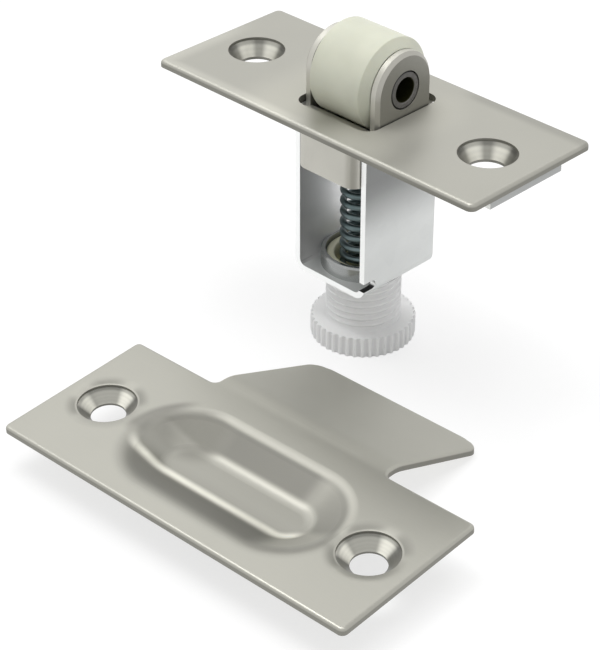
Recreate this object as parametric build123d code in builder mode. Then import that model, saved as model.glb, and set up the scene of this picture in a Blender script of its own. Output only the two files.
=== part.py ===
from build123d import *
import os
from math import atan2, radians, tan

os.makedirs("parts", exist_ok=True)

# Adjustable roller catch for a door, with its strike plate, in millimetres.
# X runs along the face plate, Z is up and the roller points up.
# The origin is midway between the two face screws, level with the feet of their countersinks.

# Face plate
plate_length = 69.85
plate_width = 28.575
plate_t = 1.2
plate_corner_r = 1.2
plate_edge_r = 0.7
opening_corner_r = 2.4
face_screw_spacing = 51.5
face_screw_rim_r = 4.85
face_screw_r = 3.3
face_rim_depth = 0.45
face_rim_step = 0.15
dimple_depth = 2.2
dimple_land = 0.45

# Housing, one folded strip of sheet
strip_t = 1.05
strip_width = 17.0
housing_depth = 31.75
bend_r = 1.2
flange_inset = 1.225
lip_bend_r = 0.5
dimple_hole_clearance = 0.3
relief_slot_width = 1.6
relief_slot_depth = 2.7
relief_slot_drop = 0.5

# Adjusting screw, a hollow shank with a toothed head
screw_r = 6.5
screw_top_drop = 0.8
shank_below_floor = 9.3
head_r = 9.1
head_height = 3.75
head_teeth = 42
tooth_groove_r = 0.42
cup_play = 0.85
cup_depth = 4.2
cup_edge = 0.3

# Threaded collar in the floor
thread_clearance = 0.07
collar_wall = 0.25
collar_shoulder = 0.6
collar_height = 2.65
collar_edge = 0.3
collar_side_gap = 0.1
spigot_side_gap = 0.13

# Roller and its axle
roller_r = 8.0
roller_bevel = 1.6
roller_bevel_width = 1.2
roller_edge_r = 0.25
roller_side_clearance = 0.2
roller_scoop_clearance = 0.35
roller_opening_clearance = 0.73
axle_rise = 4.55
axle_r = 3.15
axle_bore_r = 2.1
axle_edge = 0.15
axle_hole_clearance = 0.15
axle_fit = 0.06

# Carriage, a casting with a block between the walls and two ears that carry the axle
block_side_clearance = 0.15
block_height = 9.4
block_corner_r = 2.4
shoulder_gap = 0.05
shoulder_overlap = 1.27
ear_half_width = 6.38
ear_t = 1.57
ear_root = 0.15
ear_chamfer = 0.6
ear_foot = 1.2
ear_foot_r = 1.0
ear_opening_clearance = 0.23
notch_clearance = 0.3
notch_corner_r = 1.6
travel = 4.0
spigot_length = 2.0
spigot_play = 0.35

# Spring
spring_wire = 1.2
spring_outer_r = 4.25
spring_pitch = 2.05
spring_end_gap = 0.05

# Strike plate, lying apart with its face up and a little towards the front
strike_x = 22.0
strike_y = -52.2
strike_z = -32.75
strike_turn = 2.4
strike_tilt = 2.5
strike_length = 71.0
strike_width = 29.5
strike_t = 1.2
strike_corner_r = 1.0
strike_edge_r = 0.6
strike_screw_spacing = 54.8
strike_screw_rim_r = 4.85
strike_screw_r = 2.85
strike_dimple_depth = 2.8
strike_dimple_land = 0.35
strike_rim_depth = 0.6
strike_rim_step = 0.2
strike_dish_r = 6.7
strike_dish_depth = 0.22
tongue_width = 35.6
tongue_reach = 23.7
tongue_angle = 23.7
tongue_bend_r = 8.0
tongue_corner_r = 3.0
tongue_root_r = 1.2
recess_x = 1.1
recess_y = -0.4
recess_straight = 21.0
recess_depth = 2.8
recess_floor_half = 3.4
recess_rim_half = 9.4
recess_floor_r = 4.5
recess_rim_r = 6.0
recess_margin = 0.3

# Share of the sheet's thickness that is left round the foot of a pressed countersink
foot_wall = 0.8

# Widths that follow, from the screw outwards
collar_bore_r = screw_r + thread_clearance
collar_spigot_r = collar_bore_r + collar_wall
collar_r = collar_spigot_r + collar_shoulder
wall_inside = collar_spigot_r + spigot_side_gap
block_half = wall_inside - block_side_clearance
ear_inside = block_half - ear_root
ear_outside = ear_inside + ear_t
roller_half = ear_inside - roller_side_clearance
roller_rim_half = roller_half - roller_bevel_width
opening_half_x = ear_outside + ear_opening_clearance
opening_half_y = roller_r + roller_opening_clearance
block_depth = 2 * (opening_half_y + shoulder_overlap)
flange_end = plate_length / 2 - flange_inset
face_cone_r = face_screw_rim_r - face_rim_step
flange_hole_r = face_cone_r + foot_wall * plate_t + dimple_hole_clearance
spring_r = spring_outer_r - spring_wire / 2

# Heights that follow, from the seat in the door upwards and downwards
plate_under = dimple_depth
plate_top = plate_under + plate_t
face_cone_z = plate_top - face_rim_depth
axle_z = plate_top + axle_rise
floor_under = plate_top - housing_depth
floor_top = floor_under + strip_t
block_top = plate_under - shoulder_gap
block_under = block_top - block_height
ear_bottom = block_top - ear_foot
notch_bottom = ear_bottom - travel - notch_clearance
collar_top = floor_top + collar_height
screw_top = collar_top - screw_top_drop
head_top = floor_under - shank_below_floor
head_under = head_top - head_height
cup_floor = screw_top - cup_depth
spring_bottom = cup_floor + spring_end_gap
spring_top = block_under - spring_end_gap


def turned(points, upright, mode=Mode.ADD):
    """Turn a closed outline, drawn in an upright plane, about that plane's own vertical."""
    with BuildSketch(upright) as outline:
        with BuildLine():
            Polyline(*points, close=True)
        make_face()
    revolve(outline.sketch, axis=Axis(upright.origin, upright.y_dir), mode=mode)


def countersink(upright, foot_r, land, cone_r, cone_z, rim_r, sheet):
    """Press a countersink into sheet whose foot is at the upright plane's origin.

    The cone widens from foot_r, above its land, to cone_r at cone_z. Above it the hole has rim_r.
    """
    slope = (cone_r - foot_r) / (cone_z - land)
    outer_foot = foot_r + foot_wall * sheet
    outer_cone = outer_foot + slope * cone_z
    above = cone_z + sheet
    turned([(0, 0), (outer_foot, 0), (outer_cone, cone_z), (0, cone_z)], upright)
    turned(
        [
            (0, -sheet),
            (foot_r, -sheet),
            (foot_r, land),
            (cone_r, cone_z),
            (rim_r, cone_z),
            (rim_r, above),
            (0, above),
        ],
        upright,
        mode=Mode.SUBTRACT,
    )


# Face plate, with its opening for the roller and two countersinks pressed into it
with BuildPart() as face_plate:
    with BuildSketch(Plane.XY.offset(plate_under)):
        RectangleRounded(plate_length, plate_width, plate_corner_r)
        RectangleRounded(2 * opening_half_x, 2 * opening_half_y, opening_corner_r, mode=Mode.SUBTRACT)
    extrude(amount=plate_t)
    fillet(face_plate.faces().sort_by(Axis.Z)[-1].outer_wire().edges(), plate_edge_r)
    for x in (-face_screw_spacing / 2, face_screw_spacing / 2):
        countersink(
            Plane((x, 0, 0), x_dir=(1, 0, 0), z_dir=(0, -1, 0)),
            foot_r=face_screw_r,
            land=dimple_land,
            cone_r=face_cone_r,
            cone_z=face_cone_z,
            rim_r=face_screw_rim_r,
            sheet=plate_t,
        )
face_plate.part.label = "face_plate"
export_step(face_plate.part, "parts/face_plate.step")

# Housing: lip, flange, wall, floor, wall, flange and lip in one strip
strip_points = [
    (-flange_end, 0),
    (-flange_end, plate_under),
    (-wall_inside, plate_under),
    (-wall_inside, floor_top),
    (wall_inside, floor_top),
    (wall_inside, plate_under),
    (flange_end, plate_under),
    (flange_end, 0),
]
lip_radius = lip_bend_r + strip_t
flange_radius = bend_r + strip_t
strip_radii = [lip_radius, flange_radius, bend_r, bend_r, flange_radius, lip_radius]
with BuildPart() as housing:
    with BuildSketch(Plane.XZ):
        with BuildLine():
            FilletPolyline(*strip_points, radius=strip_radii)
            offset(amount=strip_t, side=Side.RIGHT)
        make_face()
    extrude(amount=strip_width / 2, both=True)
    # notches that let the ears pass through the walls
    notch_height = plate_top - notch_bottom
    with BuildSketch(Plane.YZ):
        with Locations((0, notch_bottom + notch_height / 2)):
            RectangleRounded(2 * (ear_half_width + notch_clearance), notch_height, notch_corner_r)
    extrude(amount=opening_half_x, both=True, mode=Mode.SUBTRACT)
    # relief slots at the tops of the floor bends, one at the front right and one at the back left
    slot_z = floor_top + bend_r - relief_slot_drop + relief_slot_width / 2
    for side in (1, -1):
        with BuildSketch(Plane.YZ.offset(side * (wall_inside - bend_r))):
            with Locations((-side * strip_width / 2, slot_z)):
                SlotOverall(2 * relief_slot_depth, relief_slot_width)
        extrude(amount=side * (bend_r + strip_t), mode=Mode.SUBTRACT)
    # holes in the flanges that clear the face plate's countersinks
    with BuildSketch(Plane.XY.offset(plate_under)):
        with GridLocations(face_screw_spacing, 0, 2, 1):
            Circle(flange_hole_r)
    extrude(amount=-strip_t, mode=Mode.SUBTRACT)
    # hole for the collar, through the floor and the feet of the bends
    with BuildSketch(Plane.XY.offset(floor_under)):
        Circle(collar_spigot_r)
    extrude(amount=strip_t + bend_r, mode=Mode.SUBTRACT)
housing.part.label = "housing"
export_step(housing.part, "parts/housing.step")

# Threaded collar, riveted into the floor; flats at its sides clear the walls and follow the bends
with BuildPart() as threaded_collar:
    with BuildSketch(Plane.XY.offset(floor_top)):
        Circle(collar_r)
    extrude(amount=collar_height)
    chamfer(threaded_collar.faces().sort_by(Axis.Z)[-1].edges(), collar_edge)
    with BuildSketch(Plane.XZ):
        with Locations((0, collar_top)):
            RectangleRounded(2 * (wall_inside - collar_side_gap), 2 * collar_height, bend_r)
    extrude(amount=collar_r, both=True, mode=Mode.INTERSECT)
    with BuildSketch(Plane.XY.offset(floor_under)):
        Circle(collar_spigot_r)
    extrude(amount=strip_t + bend_r)
    with BuildSketch(Plane.XY.offset(floor_under)):
        Circle(collar_bore_r)
    extrude(amount=strip_t + collar_height, mode=Mode.SUBTRACT)
threaded_collar.part.label = "threaded_collar"
export_step(threaded_collar.part, "parts/threaded_collar.step")

# Carriage
with BuildPart() as carriage:
    with BuildSketch(Plane.XY.offset(block_under)):
        RectangleRounded(2 * block_half, block_depth, block_corner_r)
    extrude(amount=block_height)
    # ear, rounded about the axle, then its twin
    with BuildSketch(Plane.YZ.offset(ear_inside)) as ear_outline:
        with Locations((0, axle_z)):
            Circle(ear_half_width)
        with Locations((0, (axle_z + ear_bottom) / 2)):
            Rectangle(2 * ear_half_width, axle_z - ear_bottom)
        fillet(ear_outline.vertices().group_by(Axis.Y)[0], ear_foot_r)
    extrude(amount=ear_t)
    chamfer(carriage.faces().sort_by(Axis.X)[-1].edges(), ear_chamfer)
    mirror(about=Plane.YZ)
    # room for the roller between the ears
    with BuildSketch(Plane.YZ):
        with Locations((0, axle_z)):
            Circle(roller_r + roller_scoop_clearance)
    extrude(amount=ear_inside, both=True, mode=Mode.SUBTRACT)
    # axle hole
    with BuildSketch(Plane.YZ):
        with Locations((0, axle_z)):
            Circle(axle_r + axle_hole_clearance)
    extrude(amount=ear_outside, both=True, mode=Mode.SUBTRACT)
    # spigot that centres the spring
    with BuildSketch(Plane.XY.offset(block_under)):
        Circle(spring_outer_r - spring_wire - spigot_play)
    extrude(amount=-spigot_length)
carriage.part.label = "carriage"
export_step(carriage.part, "parts/carriage.step")

# Roller, turned about the axle
with BuildPart() as roller:
    with BuildSketch(Plane.XZ) as roller_section:
        with BuildLine():
            Polyline(
                (-roller_half, axle_z + axle_r + axle_fit),
                (-roller_half, axle_z + roller_r - roller_bevel),
                (-roller_rim_half, axle_z + roller_r),
                (roller_rim_half, axle_z + roller_r),
                (roller_half, axle_z + roller_r - roller_bevel),
                (roller_half, axle_z + axle_r + axle_fit),
                close=True,
            )
        make_face()
        fillet(roller_section.vertices().group_by(Axis.Y)[-1], roller_edge_r)
    revolve(axis=Axis((0, 0, axle_z), (1, 0, 0)))
roller.part.label = "roller"
export_step(roller.part, "parts/roller.step")

# Axle, a tubular rivet flush with the ears
with BuildPart() as axle:
    with BuildSketch(Plane.YZ):
        with Locations((0, axle_z)):
            Circle(axle_r)
            Circle(axle_bore_r, mode=Mode.SUBTRACT)
    extrude(amount=ear_outside, both=True)
    chamfer(axle.faces().filter_by(Axis.X).edges(), axle_edge)
axle.part.label = "axle"
export_step(axle.part, "parts/axle.step")

# Spring, between the block and the floor of the screw's cup
coil_height = spring_top - spring_bottom - spring_wire
with BuildPart() as spring:
    with BuildLine(Plane.XY.offset(spring_bottom + spring_wire / 2)) as coil:
        Helix(spring_pitch, coil_height, spring_r)
    with BuildSketch(Plane(coil.line @ 0, z_dir=coil.line % 0)):
        Circle(spring_wire / 2)
    sweep(is_frenet=True)
spring.part.label = "spring"
export_step(spring.part, "parts/spring.step")

# Adjusting screw
with BuildPart() as adjusting_screw:
    with BuildSketch(Plane.XY.offset(head_under)):
        Circle(head_r)
        with PolarLocations(head_r, head_teeth):
            Circle(tooth_groove_r, mode=Mode.SUBTRACT)
    extrude(amount=head_height)
    with BuildSketch(Plane.XY.offset(head_top)):
        Circle(screw_r)
    extrude(amount=screw_top - head_top)
    with BuildSketch(Plane.XY.offset(cup_floor)):
        Circle(spring_outer_r + cup_play)
    extrude(amount=cup_depth, mode=Mode.SUBTRACT)
    chamfer(adjusting_screw.faces().sort_by(Axis.Z)[-1].edges(), cup_edge)
adjusting_screw.part.label = "adjusting_screw"
export_step(adjusting_screw.part, "parts/adjusting_screw.step")

# Strike plate: a sheet with a bent tongue, a pressed recess and two countersinks
half_length = strike_length / 2
half_width = strike_width / 2
half_tongue = tongue_width / 2
tongue_slope = radians(tongue_angle)
bend_corner = half_width + tongue_root_r + tongue_bend_r * tan(tongue_slope / 2)
tongue_end = half_width + tongue_reach
tongue_drop = (tongue_end - bend_corner) * tan(tongue_slope)
recess_slope = atan2(recess_depth, recess_rim_half - recess_floor_half)
recess_half = recess_rim_half + recess_rim_r * tan(recess_slope / 2) + recess_margin
under_shift = strike_t * tan(recess_slope / 2)
strike_turned = Location((strike_x, strike_y, strike_z), (0, 0, strike_turn))
strike_top = Plane(strike_turned * Location((0, 0, 0), (strike_tilt, 0, 0)))
strike_up = Axis(strike_top.origin, strike_top.z_dir)
strike_back = Axis(strike_top.origin, strike_top.y_dir)
with BuildPart() as strike_plate:
    # sheet, flat and then bent down at the tongue
    with BuildSketch(Plane(strike_top.origin, x_dir=strike_top.y_dir, z_dir=strike_top.x_dir)):
        with BuildLine():
            FilletPolyline(
                (-half_width, 0),
                (bend_corner, 0),
                (tongue_end, -tongue_drop),
                radius=tongue_bend_r,
            )
            offset(amount=strike_t, side=Side.RIGHT)
        make_face()
    extrude(amount=half_length, both=True)
    # its outline from above, with the tongue's root and corners rounded
    with BuildSketch(strike_top):
        with BuildLine():
            FilletPolyline(
                (-half_length, -half_width),
                (half_length, -half_width),
                (half_length, half_width),
                (half_tongue, half_width),
                (half_tongue, tongue_end),
                (-half_tongue, tongue_end),
                (-half_tongue, half_width),
                (-half_length, half_width),
                radius=[strike_corner_r] * 3
                + [tongue_root_r, tongue_corner_r, tongue_corner_r, tongue_root_r, strike_corner_r],
                close=True,
            )
        make_face()
    extrude(amount=tongue_drop + 2 * strike_t, both=True, mode=Mode.INTERSECT)
    # softly rounded upper edges, all round the flat part
    flat_face = strike_plate.faces().filter_by(strike_up).sort_by(strike_up)[-1]
    bend_seam = flat_face.edges().sort_by(strike_back)[-1]
    fillet(flat_face.edges() - [bend_seam], strike_edge_r)
    # the recess: a dish between two half circles, with its section drawn at either end
    with BuildSketch(strike_top):
        with Locations((recess_x, recess_y)):
            SlotCenterToCenter(recess_straight, 2 * recess_half)
    extrude(amount=-strike_t, mode=Mode.SUBTRACT)
    upper = [
        (0, -recess_depth),
        (recess_floor_half, -recess_depth),
        (recess_rim_half, 0),
        (recess_half, 0),
    ]
    lower = [
        (recess_half, -strike_t),
        (recess_rim_half + under_shift, -strike_t),
        (recess_floor_half + under_shift, -recess_depth - strike_t),
        (0, -recess_depth - strike_t),
    ]
    for end in (1, -1):
        centre = strike_top.from_local_coords((recess_x + end * recess_straight / 2, recess_y, 0))
        section_plane = Plane(centre, x_dir=end * strike_top.y_dir, z_dir=end * strike_top.x_dir)
        with BuildSketch(section_plane) as half_section:
            with BuildLine():
                FilletPolyline(*upper, radius=[recess_floor_r, recess_rim_r])
                FilletPolyline(*lower, radius=[recess_rim_r - strike_t, recess_floor_r + strike_t])
                Line(upper[0], lower[-1])
                Line(upper[-1], lower[0])
            make_face()
        revolve(half_section.sketch, axis=Axis(centre, strike_top.z_dir), revolution_arc=-180)
        extrude(half_section.sketch, amount=-recess_straight)
    # screw holes, each in a shallow dish
    for x in (-strike_screw_spacing / 2, strike_screw_spacing / 2):
        foot = strike_top.from_local_coords((x, 0, -strike_dimple_depth))
        upright = Plane(foot, x_dir=strike_top.x_dir, z_dir=-strike_top.y_dir)
        dish_z = strike_dimple_depth - strike_dish_depth
        with BuildSketch(upright) as dish_section:
            with BuildLine():
                rim = (strike_screw_rim_r, dish_z)
                dish = TangentArc((strike_dish_r, strike_dimple_depth), rim, tangent=(-1, 0))
                Polyline(dish @ 1, (0, dish_z), (0, strike_dimple_depth), dish @ 0)
            make_face()
        revolve(dish_section.sketch, axis=Axis(foot, strike_top.z_dir), mode=Mode.SUBTRACT)
        countersink(
            upright,
            foot_r=strike_screw_r,
            land=strike_dimple_land,
            cone_r=strike_screw_rim_r - strike_rim_step,
            cone_z=strike_dimple_depth - strike_rim_depth,
            rim_r=strike_screw_rim_r,
            sheet=strike_t,
        )
strike_plate.part.label = "strike_plate"
export_step(strike_plate.part, "parts/strike_plate.step")
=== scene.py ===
from math import cos, pi, radians, sin, sqrt, tau

import bpy
from mathutils import Matrix, Vector


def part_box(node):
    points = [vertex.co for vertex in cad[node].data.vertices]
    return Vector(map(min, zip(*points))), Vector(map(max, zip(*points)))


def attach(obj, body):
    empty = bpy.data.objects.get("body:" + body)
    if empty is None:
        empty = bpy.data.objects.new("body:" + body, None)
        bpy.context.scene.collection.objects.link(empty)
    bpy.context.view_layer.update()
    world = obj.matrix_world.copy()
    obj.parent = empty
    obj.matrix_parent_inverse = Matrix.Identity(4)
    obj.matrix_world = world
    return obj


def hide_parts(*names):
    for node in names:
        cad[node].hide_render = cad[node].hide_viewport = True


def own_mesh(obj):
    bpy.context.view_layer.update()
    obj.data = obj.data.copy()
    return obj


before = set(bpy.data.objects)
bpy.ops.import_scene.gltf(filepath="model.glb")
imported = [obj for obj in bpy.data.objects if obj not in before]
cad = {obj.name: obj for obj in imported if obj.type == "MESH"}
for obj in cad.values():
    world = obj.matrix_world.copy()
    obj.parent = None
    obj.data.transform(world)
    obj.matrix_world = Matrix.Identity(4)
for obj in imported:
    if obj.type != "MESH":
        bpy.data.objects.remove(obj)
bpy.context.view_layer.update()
MM = 0.001

# Places that the materials go by, as in the part's source
face_hole_x = 25.75 * MM
strike_hole_x = 27.4 * MM
hole_rim_r = 4.85 * MM
strike_origin = (22.0 * MM, -52.2 * MM, -32.75 * MM)
strike_tilt = 2.5
strike_turn = 2.4
recess_left = -9.4 * MM
recess_right = 11.6 * MM
recess_y = -0.4 * MM
axle_z = 7.95 * MM

# Sizes of the thumb screw
low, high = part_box("adjusting_screw")
head_under = low.z
screw_top = high.z
head_r = 9.1 * MM
head_height = 3.75 * MM
head_top = head_under + head_height
teeth = 42
groove_r = 0.50 * MM
crest_r = 6.5 * MM
root_r = 5.92 * MM
pitch = 1.25 * MM
cup_r = 5.1 * MM
cup_floor = screw_top - 4.2 * MM

# Sizes of the spring
wire_r = 0.6 * MM
coil_pitch = 2.05 * MM

# Shader nodes


def node(tree, kind, inputs=None, **settings):
    """A shader node with its settings, and its inputs linked or set."""
    made = tree.nodes.new(kind)
    for key, value in settings.items():
        setattr(made, key, value)
    for key, value in (inputs or {}).items():
        if isinstance(value, bpy.types.NodeSocket):
            tree.links.new(value, made.inputs[key])
        else:
            made.inputs[key].default_value = value
    return made


def maths(tree, operation, first, second=0.0, clamp=False):
    made = node(tree, "ShaderNodeMath", {0: first, 1: second}, operation=operation, use_clamp=clamp)
    return made.outputs[0]


def chained(tree, operation, values):
    """One operation over all the values, from the first on."""
    result = values[0]
    for value in values[1:]:
        result = maths(tree, operation, result, value)
    return result


def times(tree, *values):
    return chained(tree, "MULTIPLY", values)


def plus(tree, *values):
    return chained(tree, "ADD", values)


def largest(tree, *values):
    return chained(tree, "MAXIMUM", values)


def less(tree, first, second):
    return maths(tree, "SUBTRACT", first, second)


def without(tree, mask):
    """One where the mask is nothing, and nothing where it is one."""
    return less(tree, 1.0, mask)


def size_of(tree, value):
    """The value without its sign."""
    return maths(tree, "ABSOLUTE", value)


def distance(tree, first, second):
    """How far a point lies from where both values are nothing."""
    squares = plus(tree, times(tree, first, first), times(tree, second, second))
    return maths(tree, "SQRT", squares)


def from_line(tree, along, across, start, end, beside):
    """Distance from a line that runs from start to end in along, and lies at beside in across."""
    past = largest(tree, less(tree, along, end), less(tree, start, along), 0.0)
    return distance(tree, past, less(tree, across, beside))


def between(tree, value, low, high, to_low=0.0, to_high=1.0):
    """value, smoothly carried from low..high over to to_low..to_high."""
    inputs = {"Value": value, "From Min": low, "From Max": high, "To Min": to_low, "To Max": to_high}
    return node(tree, "ShaderNodeMapRange", inputs, interpolation_type="SMOOTHSTEP").outputs[0]


def band(tree, value, middle_at, inner, outer):
    """One at middle_at, falling to nothing over inner below it and over outer above it."""
    rising = between(tree, value, middle_at - inner, middle_at)
    falling = between(tree, value, middle_at + outer, middle_at)
    return times(tree, rising, falling)


def mix_values(tree, factor, first, second):
    return plus(tree, times(tree, without(tree, factor), first), times(tree, factor, second))


def grey(level):
    return (level, level, level, 1.0)


def grey_value(tree, level):
    """A grey from a value that is worked out."""
    return node(tree, "ShaderNodeCombineColor", {0: level, 1: level, 2: level}).outputs[0]


def mix(tree, factor, first, second, blend="MIX"):
    inputs = {0: factor, 6: first, 7: second}
    return node(tree, "ShaderNodeMix", inputs, data_type="RGBA", blend_type=blend).outputs[2]


def multiplied(tree, first, second):
    return mix(tree, 1.0, first, second, "MULTIPLY")


def shaded(tree, mask, colour, level):
    """The colour, with level times its brightness where the mask is one."""
    return mix(tree, mask, colour, multiplied(tree, colour, grey(level)))


def noise(tree, scale, detail, stretch=(1, 1, 1)):
    """Noise in the piece's own metres, stretched along its axes."""
    place = node(tree, "ShaderNodeTexCoord").outputs["Object"]
    spread = node(tree, "ShaderNodeMapping", {"Vector": place, "Scale": stretch}).outputs[0]
    inputs = {"Vector": spread, "Scale": scale, "Detail": detail}
    return node(tree, "ShaderNodeTexNoise", inputs).outputs["Fac"]


def mottled(tree, cloud, dark, light):
    """A colour that a noise carries from dark to light."""
    return mix(tree, between(tree, cloud, 0.3, 0.7), dark, light)


def rough_between(tree, grain, low, high):
    """A roughness that a noise carries from low to high."""
    return between(tree, grain, 0.2, 0.8, low, high)


def parts_of(tree, vector):
    return node(tree, "ShaderNodeSeparateXYZ", {0: vector}).outputs


def own_place(tree):
    """The parts of the place, in the piece's own metres."""
    return parts_of(tree, node(tree, "ShaderNodeTexCoord").outputs["Object"])


def own_normal(tree):
    """The parts of the surface's normal, along the piece's own axes."""
    return parts_of(tree, node(tree, "ShaderNodeTexCoord").outputs["Normal"])


def tilted_frame(tree, origin, tilt, turn_about_z):
    """The parts of the place and of the normal, in the frame of a plate that lies tilted and turned."""
    known = node(tree, "ShaderNodeTexCoord").outputs
    swing = (radians(tilt), 0.0, radians(turn_about_z))
    inputs = {"Vector": known["Object"], "Location": origin, "Rotation": swing}
    place = node(tree, "ShaderNodeMapping", inputs, vector_type="TEXTURE").outputs[0]
    inputs = {"Vector": known["Normal"], "Rotation": swing}
    normal = node(tree, "ShaderNodeMapping", inputs, vector_type="TEXTURE").outputs[0]
    return parts_of(tree, place), parts_of(tree, normal)


def material(name, **settings):
    made = bpy.data.materials.new(name)
    made.use_nodes = True
    tree = made.node_tree
    shader = tree.nodes["Principled BSDF"]
    for key, value in settings.items():
        shader.inputs[key.replace("_", " ")].default_value = value
    return made, tree, shader


def finish_surface(tree, shader, colour, rough, height, depth):
    """Link the colour and the roughness, and a bump of this depth."""
    tree.links.new(colour, shader.inputs["Base Color"])
    tree.links.new(rough, shader.inputs["Roughness"])
    bump = node(tree, "ShaderNodeBump", {"Height": height, "Strength": 1.0, "Distance": depth})
    tree.links.new(bump.outputs[0], shader.inputs["Normal"])


# Materials. Their painted shades by place are set to match the photograph.

nickel_tint = (0.40, 0.394, 0.352, 1.0)
# tint of the sheared sides: partly their cut finish, partly painted shade
sheared_tint_and_shade = (0.25, 0.246, 0.218, 1.0)


def nickel_body(tree):
    """Plating tone with fine brushing along X and faint clouding, and the grain itself."""
    cloud = noise(tree, 55, 3)
    grain = noise(tree, 5000, 2, stretch=(0.03, 1, 1))
    body = multiplied(tree, nickel_tint, mottled(tree, cloud, grey(0.985), grey(1.012)))
    return multiplied(tree, body, mottled(tree, grain, grey(0.99), grey(1.008))), grain


def painted_hole_shades(tree, place, hole_x, dish_shade_strength, glints):
    """Two countersinks: which part is cone, and the painted light and shade of the cones and of the
    dish round them.

    A cone has painted light towards the back left, a painted shadow under its rim there, and painted
    highlights at two angles. The dish round it has painted shade in three arcs, as strong as the caller
    asks.
    """
    side = maths(tree, "SIGN", place[0])
    across = less(tree, place[0], times(tree, side, hole_x))
    radius = distance(tree, across, place[1])
    cosine = maths(tree, "DIVIDE", across, radius)
    sine = maths(tree, "DIVIDE", place[1], radius)
    back_left = 135

    def arc(degrees, start, full=1.0):
        """One where the direction from the hole's middle is at this angle, nothing away from it."""
        angle = radians(degrees)
        toward = plus(tree, times(tree, cosine, cos(angle)), times(tree, sine, sin(angle)))
        return between(tree, toward, start, full)

    cone = between(tree, radius, hole_rim_r + 0.05 * MM, hole_rim_r - 0.1 * MM)
    # painted light: highlights at two angles, and a lighter back left
    glint = largest(tree, arc(glints[0], 0.89), arc(glints[1], 0.89))
    level = plus(tree, 0.40, times(tree, arc(back_left, 0.10, 0.70), 0.50), times(tree, glint, 1.20))
    # painted shadow under the rim at the back left
    painted_rim_shadow = between(tree, radius, hole_rim_r - 0.60 * MM, hole_rim_r - 0.35 * MM)
    painted_rim_shadow = times(tree, painted_rim_shadow, arc(back_left, 0.0, 0.4))
    level = times(tree, level, without(tree, times(tree, painted_rim_shadow, 0.45)))
    inputs = {"W": radius, "Scale": 2600.0, "Detail": 0.0}
    rings = node(tree, "ShaderNodeTexNoise", inputs, noise_dimensions="1D").outputs[0]
    level = times(tree, level, between(tree, rings, 0.3, 0.7, 0.95, 1.05))
    # painted shade in three arcs of the dish round the hole
    dish = band(tree, radius, hole_rim_r + 0.4 * MM, 0.3 * MM, 1.9 * MM)
    painted_dark_arcs = largest(tree, arc(back_left, 0.80), arc(229, 0.85), arc(56, 0.85))
    painted_dish_shade = without(tree, times(tree, dish, painted_dark_arcs, dish_shade_strength))
    return cone, mix(tree, cone, grey_value(tree, painted_dish_shade), grey_value(tree, level))


def plate_finish(tree, shader, body, rough, grain, cone, normal, edge_highlight_level, cone_metal):
    """What both plates share: their edges, and the finish of their cones.

    Rounded edges that face the front or the left get a painted highlight, as many times the body's
    brightness as the caller gives. Sheared sides are rougher, and darker in a tint that is partly their
    cut finish and partly painted shade. The cones have no grain, and a metallic value of their own.
    """
    upward = size_of(tree, normal[2])
    lit = largest(tree, between(tree, normal[1], -0.05, -0.25), between(tree, normal[0], -0.05, -0.25))
    # painted highlight on rounded edges that face the front or the left
    rounded = times(tree, band(tree, upward, 0.90, 0.30, 0.095), lit)
    sheared = between(tree, upward, 0.55, 0.15)
    # sheared sides darker: partly their cut finish, partly painted shade
    colour = mix(tree, sheared, shaded(tree, rounded, body, edge_highlight_level), sheared_tint_and_shade)
    rough = plus(tree, rough, times(tree, sheared, 0.10))
    tree.links.new(between(tree, cone, 0.0, 1.0, 0.85, cone_metal), shader.inputs["Metallic"])
    height = times(tree, grain, without(tree, cone))
    finish_surface(tree, shader, colour, rough, height, 0.0012 * MM)


def plate_nickel(name):
    """The face plate: satin plating, with painted highlights and shade along its edges and painted
    light beside the ears.
    """
    made, tree, shader = material(name)
    place = own_place(tree)
    normal = own_normal(tree)
    body, grain = nickel_body(tree)
    cone, painted_hole_tones = painted_hole_shades(tree, place, face_hole_x, dish_shade_strength=0.0, glints=(163, 98))
    body = multiplied(tree, body, painted_hole_tones)
    # painted highlight along the near edge's left part and along the left end
    painted_near_edge_light = between(tree, place[1], -11.5 * MM, -13.4 * MM)
    painted_near_edge_light = times(tree, painted_near_edge_light, between(tree, place[0], 2 * MM, -8 * MM))
    painted_left_end = between(tree, place[0], -31.0 * MM, -34.0 * MM)
    painted_left_end = times(tree, painted_left_end, between(tree, place[1], 9 * MM, -2 * MM))
    flat = between(tree, size_of(tree, normal[2]), 0.6, 0.9)
    body = shaded(tree, times(tree, largest(tree, painted_near_edge_light, painted_left_end), flat), body, 1.22)
    # painted shade along the far edge's right part
    painted_far_edge_shade = between(tree, place[1], 11.0 * MM, 13.0 * MM)
    painted_far_edge_shade = times(tree, painted_far_edge_shade, between(tree, place[0], 8 * MM, 14 * MM))
    body = shaded(tree, painted_far_edge_shade, body, 0.82)
    # painted light beside the ears in place of their dark reflection, and a rougher finish there, so
    # that the plate mirrors them less
    from_ears = from_line(tree, place[1], size_of(tree, place[0]), -9.0 * MM, 3.0 * MM, 9.0 * MM)
    painted_light_by_ears = between(tree, from_ears, 10.0 * MM, 2.0 * MM)
    body = shaded(tree, painted_light_by_ears, body, 1.22)
    rough = plus(tree, rough_between(tree, grain, 0.38, 0.42), times(tree, painted_light_by_ears, 0.22))
    rough = less(tree, rough, times(tree, cone, 0.04))
    plate_finish(tree, shader, body, rough, grain, cone, normal, edge_highlight_level=1.06, cone_metal=0.55)
    return made


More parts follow.
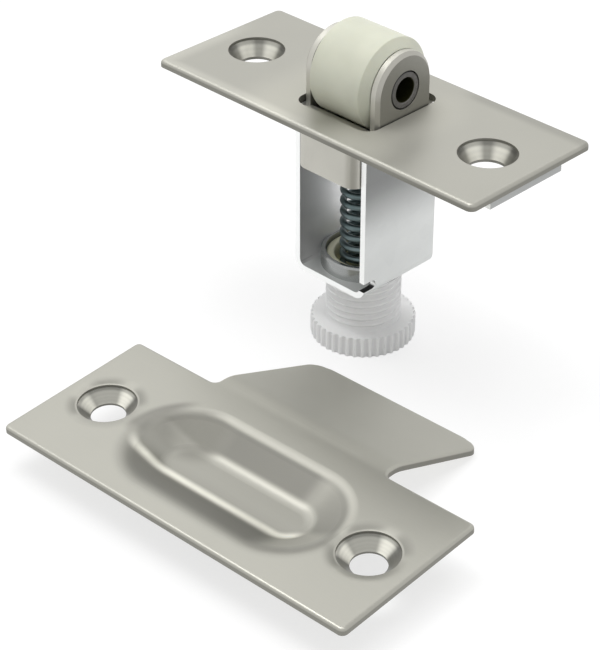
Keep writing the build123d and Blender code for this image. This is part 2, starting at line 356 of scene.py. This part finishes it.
def painted_recess_shades(tree, place, normal):
    """The painted shade and light in and round the strike's recess, and the masks of its walls and of
    its left end.
    """
    rim_distance = from_line(tree, place[0], place[1], recess_left, recess_right, recess_y)
    # the line of its foot reaches further to the left than that of its rim
    foot_left = -16.0 * MM
    foot_distance = from_line(tree, place[0], place[1], foot_left, recess_right, recess_y)
    across = less(tree, place[1], recess_y)
    far_side = between(tree, across, -0.5 * MM, 1.5 * MM)
    near_side = between(tree, across, 0.0, -2.5 * MM)
    inside = between(tree, rim_distance, 10.4 * MM, 8.4 * MM)
    # painted shade in the recess, and on the sheet just outside its near rim
    shade = mix(tree, inside, grey(1.0), grey(0.84))
    near_rim = times(tree, near_side, between(tree, rim_distance, 11.8 * MM, 9.6 * MM))
    shade = mix(tree, near_rim, shade, grey(0.78))

    # walls: painted shade, darker where they face the front
    near_wall = between(tree, foot_distance, 4.0 * MM, 5.6 * MM)
    far_wall = between(tree, foot_distance, 3.3 * MM, 4.6 * MM)
    wall = times(tree, mix_values(tree, far_side, near_wall, far_wall), inside)
    near_shade = grey_value(tree, between(tree, place[0], 11.0 * MM, 15.0 * MM, 0.60, 0.86))
    far_shade = grey_value(tree, between(tree, place[0], 9.5 * MM, 13.5 * MM, 0.34, 0.60))
    facing_back = between(tree, normal[1], -0.05, 0.1)
    shade = mix(tree, wall, shade, mix(tree, facing_back, far_shade, near_shade))

    # painted highlight along the walls' foot, but for the far side of the left end
    foot = band(tree, foot_distance, 3.5 * MM, 1.3 * MM, 1.5 * MM)
    leftward = between(tree, place[0], -6.0 * MM, -10.0 * MM)
    foot = times(tree, foot, without(tree, times(tree, far_side, leftward)))
    foot = times(tree, foot, between(tree, place[0], -20.0 * MM, -14.0 * MM))
    foot_shade = grey_value(tree, plus(tree, 0.98, times(tree, near_side, 1.55)))
    shade = mix(tree, foot, shade, foot_shade)

    # left end: painted shade, darker where it is steep
    end_distance = from_line(tree, place[0], place[1], -15.5 * MM, -12.0 * MM, 5.2 * MM)
    painted_left_end = times(tree, between(tree, end_distance, 7.0 * MM, 2.5 * MM), inside)
    steep = between(tree, size_of(tree, normal[2]), 0.998, 0.93)
    end_shade = grey_value(tree, between(tree, steep, 0.0, 1.0, 0.70, 0.58))
    shade = mix(tree, painted_left_end, shade, end_shade)

    # painted highlight along the far rim, and a painted dark line round the left rim
    far_rim = times(tree, band(tree, rim_distance, 9.9 * MM, 1.2 * MM, 1.2 * MM), far_side)
    far_rim = times(tree, far_rim, between(tree, place[0], -14.0 * MM, -9.0 * MM))
    shade = mix(tree, far_rim, shade, grey(1.18))
    left_rim = between(tree, rim_distance, 7.5 * MM, 9.5 * MM)
    left_rim = times(tree, left_rim, between(tree, rim_distance, 12.5 * MM, 11.0 * MM))
    left_rim = times(tree, left_rim, between(tree, place[0], -15.0 * MM, -18.5 * MM))
    left_rim = times(tree, left_rim, between(tree, across, -3.0 * MM, 0.0))
    return mix(tree, left_rim, shade, grey(0.62)), wall, painted_left_end


def strike_nickel(name):
    """The strike: plating as on the face plate, with painted shade and light in its recess and painted
    light on its tongue.
    """
    made, tree, shader = material(name)
    place, normal = tilted_frame(tree, strike_origin, strike_tilt, strike_turn)
    body, grain = nickel_body(tree)
    cone, painted_hole_tones = painted_hole_shades(tree, place, strike_hole_x, dish_shade_strength=0.34, glints=(200, 86))
    shade, wall, painted_left_end = painted_recess_shades(tree, place, normal)
    # painted light on the tongue
    tongue = between(tree, place[1], 14.0 * MM, 17.5 * MM)
    shade = mix(tree, tongue, shade, grey(1.14))
    body = multiplied(tree, body, multiplied(tree, shade, painted_hole_tones))
    rough = plus(tree, rough_between(tree, grain, 0.33, 0.37), times(tree, tongue, 0.20))
    rough = plus(tree, rough, times(tree, wall, 0.12), times(tree, painted_left_end, 0.28))
    plate_finish(tree, shader, body, rough, grain, cone, normal, edge_highlight_level=1.34, cone_metal=0.30)
    return made


def zinc_body(tree, tint):
    """Zinc tone with faint clouding and spangle, and the rolling lines themselves."""
    cloud = noise(tree, 90, 4)
    roll = noise(tree, 500, 2, stretch=(1, 0.05, 1))
    place = node(tree, "ShaderNodeTexCoord").outputs["Object"]
    spangle = node(tree, "ShaderNodeTexVoronoi", {"Scale": 420.0, "Vector": place})
    cells = node(tree, "ShaderNodeSeparateColor", {0: spangle.outputs["Color"]}).outputs[0]
    body = multiplied(tree, tint, mottled(tree, cloud, grey(0.97), grey(1.02)))
    return multiplied(tree, body, mix(tree, cells, grey(0.985), grey(1.01))), roll


def zinc_sheet(name):
    """The housing: bright zinc on folded sheet.

    It has painted shade up under the face plate, and painted light on the inner sides of its walls
    that turns to painted shade towards the front. Its cut edges are lighter, partly bare metal and
    partly painted highlight, and its relief slots hold a nearly black painted shadow.
    """
    made, tree, shader = material(name)
    body, roll = zinc_body(tree, (0.76, 0.775, 0.765, 1.0))
    x, y, z = own_place(tree)
    normal = own_normal(tree)
    sideways = size_of(tree, normal[0])
    lengthways = size_of(tree, normal[1])
    cut = between(tree, lengthways, 0.9, 0.97)
    # a wall's inner side faces the middle, from which it is well away
    least_normal = 0.5
    least_x = 6 * MM
    inward = maths(tree, "LESS_THAN", times(tree, x, normal[0]), -least_normal * least_x)
    flange = between(tree, size_of(tree, x), 9 * MM, 12 * MM)
    # painted shade up under the face plate, less on the flanges, none on the walls' inner sides
    painted_shade_under_plate = times(tree, between(tree, z, -19 * MM, -6 * MM), without(tree, inward))
    painted_shade_under_plate = times(tree, painted_shade_under_plate, without(tree, times(tree, flange, 0.35)))
    body = shaded(tree, painted_shade_under_plate, body, 0.34)
    # painted light on the walls' inner sides, turning to painted shade towards the front
    inner = grey_value(tree, between(tree, y, -9.5 * MM, -2.0 * MM, 0.56, 1.0))
    bright = mix(tree, inward, (0.96, 0.97, 0.96, 1), inner)
    # cut edges lighter: partly bare metal, partly painted highlight
    colour = mix(tree, largest(tree, cut, inward), body, bright)
    # painted shadow, nearly black, in the relief slots
    slot_top = -24.8 * MM
    slot_bottom = -26.8 * MM
    slot_y = 5.7 * MM
    soft = 0.1 * MM
    slot = between(tree, z, slot_top + soft, slot_top - soft)
    slot = times(tree, slot, between(tree, z, slot_bottom - soft, slot_bottom + soft))
    slot = times(tree, slot, between(tree, size_of(tree, y), slot_y - soft, slot_y + soft))
    slot = times(tree, slot, between(tree, sideways, 0.9, 0.7), between(tree, lengthways, 0.9, 0.7))
    colour = mix(tree, slot, colour, grey(0.03))
    metal = largest(tree, times(tree, cut, 0.92), times(tree, inward, 0.85), 0.55)
    tree.links.new(metal, shader.inputs["Metallic"])
    rough = plus(tree, rough_between(tree, roll, 0.36, 0.44), times(tree, inward, 0.15))
    finish_surface(tree, shader, colour, rough, roll, 0.002 * MM)
    return made


def zinc_collar(name):
    """The collar: darker and smoother than the housing."""
    made, tree, shader = material(name, Metallic=0.9)
    body, roll = zinc_body(tree, (0.33, 0.34, 0.335, 1.0))
    finish_surface(tree, shader, body, rough_between(tree, roll, 0.2, 0.28), roll, 0.002 * MM)
    return made


def cast_nickel(name):
    """The carriage: a plated casting, with painted shade on its ears' outer faces and on their bevels.
    """
    made, tree, shader = material(name, Metallic=0.8)
    cloud = noise(tree, 140, 4)
    skin = noise(tree, 2600, 3)
    colour = mottled(tree, cloud, (0.54, 0.53, 0.48, 1), (0.575, 0.565, 0.51, 1))
    sideways = size_of(tree, own_normal(tree)[0])
    face = between(tree, sideways, 0.93, 0.99)
    bevel = times(tree, between(tree, sideways, 0.4, 0.6), between(tree, sideways, 0.9, 0.8))
    # painted shade on the ears' outer faces, and lighter painted shade on their bevels
    colour = mix(tree, face, colour, (0.30, 0.295, 0.265, 1))
    colour = mix(tree, bevel, colour, (0.43, 0.42, 0.38, 1))
    finish_surface(tree, shader, colour, rough_between(tree, skin, 0.38, 0.46), skin, 0.006 * MM)
    return made


def ivory_nylon(name):
    """The roller: ivory nylon with a faint grain round it."""
    made, tree, shader = material(
        name,
        Subsurface_Weight=0.12,
        Subsurface_Scale=1.5 * MM,
        Subsurface_Radius=(1.0, 0.8, 0.5),
        Coat_Weight=0.08,
    )
    cloud = noise(tree, 180, 3)
    grain = noise(tree, 1500, 2, stretch=(1, 0.08, 0.08))
    colour = mottled(tree, cloud, (0.57, 0.58, 0.475, 1), (0.61, 0.62, 0.51, 1))
    finish_surface(tree, shader, colour, rough_between(tree, grain, 0.40, 0.50), grain, 0.005 * MM)
    return made


def dark_steel(name):
    """The axle: a dark tube, lighter on its ends than outside, and nearly black in its bore, which is
    painted shade.
    """
    made, tree, shader = material(name, Metallic=0.7)
    place = own_place(tree)
    radius = distance(tree, place[1], less(tree, place[2], axle_z))
    bore = between(tree, radius, 2.20 * MM, 2.13 * MM)
    outside = between(tree, radius, 2.97 * MM, 3.05 * MM)
    turned = noise(tree, 2500, 2)
    end = mottled(tree, turned, (0.15, 0.145, 0.14, 1), (0.19, 0.185, 0.18, 1))
    # painted shade in the bore, nearly black with a yellow cast
    colour = mix(tree, bore, mix(tree, outside, end, grey(0.03)), (0.03, 0.03, 0.009, 1))
    finish_surface(tree, shader, colour, rough_between(tree, turned, 0.38, 0.5), turned, 0.004 * MM)
    return made


def spring_steel(name):
    """The spring: dark bluish wire with a cloudy tone and a fine grain."""
    made, tree, shader = material(name, Metallic=0.9, Coat_Weight=0.06, Coat_Roughness=0.2)
    cloud = noise(tree, 260, 3)
    grain = noise(tree, 3200, 2, stretch=(1, 1, 0.3))
    colour = mottled(tree, cloud, (0.08, 0.115, 0.12, 1), (0.15, 0.195, 0.20, 1))
    finish_surface(tree, shader, colour, rough_between(tree, grain, 0.30, 0.40), grain, 0.003 * MM)
    return made


def white_nylon(name):
    """The thumb screw: white nylon, greyer in its grooves with painted shade, and yellower in its cup
    and on its top with painted light that has passed through the nylon.
    """
    made, tree, shader = material(
        name,
        Subsurface_Weight=0.25,
        Subsurface_Scale=0.8 * MM,
        Subsurface_Radius=(1.0, 1.0, 1.0),
    )
    x, y, z = own_place(tree)
    radius = distance(tree, x, y)
    cloud = noise(tree, 120, 3)
    skin = noise(tree, 2200, 3)
    white = mottled(tree, cloud, (0.985, 0.985, 0.98, 1), (0.995, 0.995, 0.99, 1))
    in_head = between(tree, z, head_top + 0.1 * MM, head_top - 0.05 * MM)
    groove = times(tree, between(tree, radius, head_r - 0.1 * MM, head_r - 0.5 * MM), in_head)
    root = between(tree, radius, crest_r - 0.1 * MM, crest_r - 0.5 * MM)
    root = times(tree, root, without(tree, in_head))
    upright = between(tree, size_of(tree, own_normal(tree)[2]), 0.75, 0.45)
    # painted shade in the head's grooves and the thread's roots
    white = mix(tree, times(tree, largest(tree, groove, root), upright), white, grey(0.86))
    inside = between(tree, radius, cup_r + 0.25 * MM, cup_r)
    cup = times(tree, inside, between(tree, z, cup_floor - 0.1 * MM, cup_floor))
    rim = between(tree, z, screw_top - 0.5 * MM, screw_top - 0.2 * MM)
    # painted yellow light, as through the nylon, in the cup and on the top
    colour = mix(tree, largest(tree, cup, rim), white, (0.90, 0.88, 0.66, 1))
    finish_surface(tree, shader, colour, rough_between(tree, skin, 0.42, 0.55), skin, 0.010 * MM)
    return made


# Pieces made here


def mesh_piece(name, points, faces, look, body, replaced):
    """A piece that rides with a body, in the place of a node of the CAD."""
    mesh = bpy.data.meshes.new(name)
    mesh.from_pydata(points, [], faces)
    mesh.validate()
    piece = bpy.data.objects.new(name, mesh)
    bpy.context.scene.collection.objects.link(piece)
    mesh.materials.append(look)
    mesh.shade_smooth()
    mesh.set_sharp_from_angle(angle=0.6)
    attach(piece, body)
    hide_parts(replaced)
    return piece


def lathe(rings, around):
    """Points and faces of closed rings, capped at both ends. Each ring is a function of the turn."""
    points, faces = [], []
    for ring in rings:
        for step in range(around):
            points.append(ring(tau * step / around))
    for row in range(len(rings) - 1):
        for step in range(around):
            a = row * around + step
            b = row * around + (step + 1) % around
            faces.append((a, b, b + around, a + around))
    faces.append(tuple(reversed(range(around))))
    last = (len(rings) - 1) * around
    faces.append(tuple(range(last, last + around)))
    return points, faces


def ring_at(radius, z):
    return lambda turn: (radius * cos(turn), radius * sin(turn), z)


def toothed(inset, z):
    """A ring of the head's rim, with its rounded grooves, drawn in by inset."""

    def place(turn):
        across = (turn * teeth / tau + 0.5) % 1 - 0.5
        arc = across * tau / teeth * head_r
        cut = sqrt(max(groove_r**2 - arc**2, 0.0))
        return ring_at(head_r - max(cut, inset), z)(turn)

    return place


def threaded(z, share):
    """A ring of the shank at height z. Its thread is as deep there as share says."""
    flat = 0.18

    def place(turn):
        phase = (z / pitch - turn / tau) % 1
        flank = abs(2 * phase - 1)
        rise = min(max((flank - flat) / (1 - 2 * flat), 0.0), 1.0)
        rise = rise * rise * (3 - 2 * rise)
        return ring_at(crest_r - (crest_r - root_r) * (1 - rise) * share, z)(turn)

    return place


def wire_ring(centre, out, up):
    return lambda turn: tuple(centre + wire_r * (cos(turn) * out - sin(turn) * up))


# Thumb screw: toothed head, threaded shank and cup
hub_r = 1 * MM
steps_per_tooth = 8
rows_per_turn = 9
# inset and rise of the teeth's rounded ends, then radius and rise from the head up to the shank
tooth_edge = [(0.18 * MM, 0.03 * MM), (0.05 * MM, 0.16 * MM)]
head_foot = [(head_r - 0.7 * MM, 0.0), (crest_r + 0.4 * MM, 0.0), (crest_r + 0.1 * MM, 0.03 * MM)]
rings = [ring_at(radius, head_under) for radius in (hub_r, head_r - 1.5 * MM, head_r - 0.8 * MM)]
rings += [toothed(inset, head_under + rise) for inset, rise in tooth_edge]
rings += [toothed(0.0, head_under + share * head_height) for share in (0.15, 0.4, 0.65, 0.88)]
rings += [toothed(inset, head_top - rise) for inset, rise in reversed(tooth_edge)]
rings += [ring_at(radius, head_top + rise) for radius, rise in head_foot]
thread_end = screw_top - 0.15 * MM
rows = int((screw_top - head_top) / pitch * rows_per_turn)
for row in range(1, rows):
    z = head_top + (thread_end - head_top) * row / rows
    rings.append(threaded(z, min(1.0, (z - head_top) / (0.6 * MM), (screw_top - z) / (0.8 * MM))))
rim_and_cup = [
    (crest_r - 0.12 * MM, screw_top - 0.12 * MM),
    (crest_r - 0.28 * MM, screw_top),
    (cup_r + 0.3 * MM, screw_top),
    (cup_r + 0.1 * MM, screw_top - 0.08 * MM),
    (cup_r, screw_top - 0.3 * MM),
    (cup_r, cup_floor + 0.3 * MM),
    (cup_r - 0.3 * MM, cup_floor),
    (hub_r, cup_floor),
]
rings += [ring_at(radius, height) for radius, height in rim_and_cup]
points, faces = lathe(rings, teeth * steps_per_tooth)
nylon = white_nylon("white_nylon")
mesh_piece("thumb_screw", points, faces, nylon, "screw", "adjusting_screw")

# Spring: round wire
low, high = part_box("spring")
length = high.z - low.z
wire_sides = 14
steps_per_turn = 56
coil_r = (high.x - low.x) / 2 - wire_r
turns = (length - 2 * wire_r) / coil_pitch
steps = int(turns * steps_per_turn)
rings = []
for step in range(steps + 1):
    turn = tau * turns * step / steps
    height = low.z + wire_r + coil_pitch * turn / tau
    centre = Vector((coil_r * cos(turn), coil_r * sin(turn), height))
    along = Vector((-coil_r * sin(turn), coil_r * cos(turn), coil_pitch / tau)).normalized()
    out = Vector((cos(turn), sin(turn), 0))
    rings.append(wire_ring(centre, out, along.cross(out)))
points, faces = lathe(rings, wire_sides)
blued = spring_steel("spring_steel")
coil = mesh_piece("coil_spring", points, faces, blued, "spring_seat", "spring")
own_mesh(coil)

# CAD nodes that keep their shape
looks = {
    "face_plate": plate_nickel("satin_nickel"),
    "strike_plate": strike_nickel("satin_nickel_strike"),
    "housing": zinc_sheet("zinc_plate"),
    "threaded_collar": zinc_collar("zinc_collar"),
    "carriage": cast_nickel("cast_nickel"),
    "roller": ivory_nylon("roller_nylon"),
    "axle": dark_steel("dark_steel"),
}
for name, look in looks.items():
    cad[name].data.materials.clear()
    cad[name].data.materials.append(look)

# Stage, light and camera


def seen(tree):
    """One for what the camera, a reflection or clear matter shows, nothing for what lights the rest."""
    rays = node(tree, "ShaderNodeLightPath").outputs
    shown = plus(tree, rays["Is Camera Ray"], rays["Is Glossy Ray"])
    return maths(tree, "ADD", shown, rays["Is Transmission Ray"], clamp=True)


floor_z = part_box("adjusting_screw")[0].z
floor_reach = 3.0
corners = [(-1, -1), (1, -1), (1, 1), (-1, 1)]
floor_points = [(floor_reach * side, floor_reach * end, floor_z) for side, end in corners]
floor_mesh = bpy.data.meshes.new("floor")
floor_mesh.from_pydata(floor_points, [], [(0, 1, 2, 3)])
floor = bpy.data.objects.new("floor", floor_mesh)
bpy.context.scene.collection.objects.link(floor)
paper = bpy.data.materials.new("paper")
paper.use_nodes = True
tree = paper.node_tree
tree.nodes.clear()
shown = seen(tree)
# seen, the paper is mostly a white glow, and to the light it is pale and has no glow
paper_colour = mix(tree, shown, grey(0.85), grey(0.32))
matt = node(tree, "ShaderNodeBsdfDiffuse", {"Color": paper_colour}).outputs[0]
spot = node(tree, "ShaderNodeTexCoord").outputs["Object"]
away = node(tree, "ShaderNodeVectorMath", {0: spot}, operation="LENGTH").outputs["Value"]
shine = times(tree, shown, between(tree, away, 0.25, 1.5, 0.70, 0.90))
glow = node(tree, "ShaderNodeEmission", {"Color": grey(1.0), "Strength": shine}).outputs[0]
both = node(tree, "ShaderNodeAddShader", {0: matt, 1: glow}).outputs[0]
node(tree, "ShaderNodeOutputMaterial", {"Surface": both})
floor_mesh.materials.append(paper)

world = bpy.data.worlds.new("studio")
bpy.context.scene.world = world
world.use_nodes = True
tree = world.node_tree
tree.nodes.clear()
sky = mix(tree, seen(tree), (0.46, 0.462, 0.465, 1), grey(1.0))
background = node(tree, "ShaderNodeBackground", {"Color": sky, "Strength": 1.0}).outputs[0]
node(tree, "ShaderNodeOutputWorld", {"Surface": background})

lamp_aim = (0.01, -0.02, -0.01)
far_side = (-0.703, 0.711)
far_distance = 1.2


def lamp(name, place, width, height, level, shows=True):
    """A soft panel. Its power goes with its area, so that level says how bright it looks."""
    data = bpy.data.lights.new(name, "AREA")
    data.shape = "RECTANGLE"
    data.size = width
    data.size_y = height
    data.energy = level * pi * width * height
    made = bpy.data.objects.new(name, data)
    made.location = place
    made.rotation_euler = (Vector(lamp_aim) - Vector(place)).to_track_quat("-Z", "Y").to_euler()
    made.visible_camera = False
    made.visible_glossy = shows
    bpy.context.scene.collection.objects.link(made)


def far_panel(name, elevation, wide, tall, level):
    """A panel on the far side of the object, whose width and height are in degrees."""
    up = radians(elevation)
    flat = far_distance * cos(up)
    place = (far_side[0] * flat, far_side[1] * flat, far_distance * sin(up))
    lamp(name, place, far_distance * radians(wide), far_distance * radians(tall), level)


lamp("key", place=(-0.30, -0.20, 1.06), width=0.6, height=0.6, level=3.6)
lamp("top", place=(0.05, 0.10, 1.05), width=0.9, height=0.9, level=2.5, shows=False)
far_panel("far_middle", elevation=38, wide=60, tall=22, level=0.25)
far_panel("far_high", elevation=46, wide=60, tall=8, level=0.85)

# Camera as in the photograph, placed in millimetres along its own axes. They are counted from the
# middle of the face plate's top.
focal_pixels = 2100
photo_height = 650
camera_x = -10.915
camera_y = -36.701
camera_distance = 340.994
plate_top = Vector((0, 0, 3.4))
camera_data = bpy.data.cameras.new("camera")
camera_data.sensor_width = 36
camera_data.lens = focal_pixels / photo_height * camera_data.sensor_width
camera_data.clip_start = 0.01
camera_data.clip_end = 10
camera = bpy.data.objects.new("camera", camera_data)
back = Vector((0.589032, -0.591363, 0.550754)).normalized()
up = back.cross(Vector((0.708502, 0.705709, 0.0))).normalized()
right = up.cross(back)
place = camera_x * right + camera_y * up + camera_distance * back + plate_top
turn = Matrix((right, up, back)).transposed().to_4x4()
camera.matrix_world = Matrix.Translation(place * MM) @ turn
bpy.context.scene.collection.objects.link(camera)
bpy.context.scene.camera = camera
bpy.context.scene.view_settings.view_transform = "Standard"
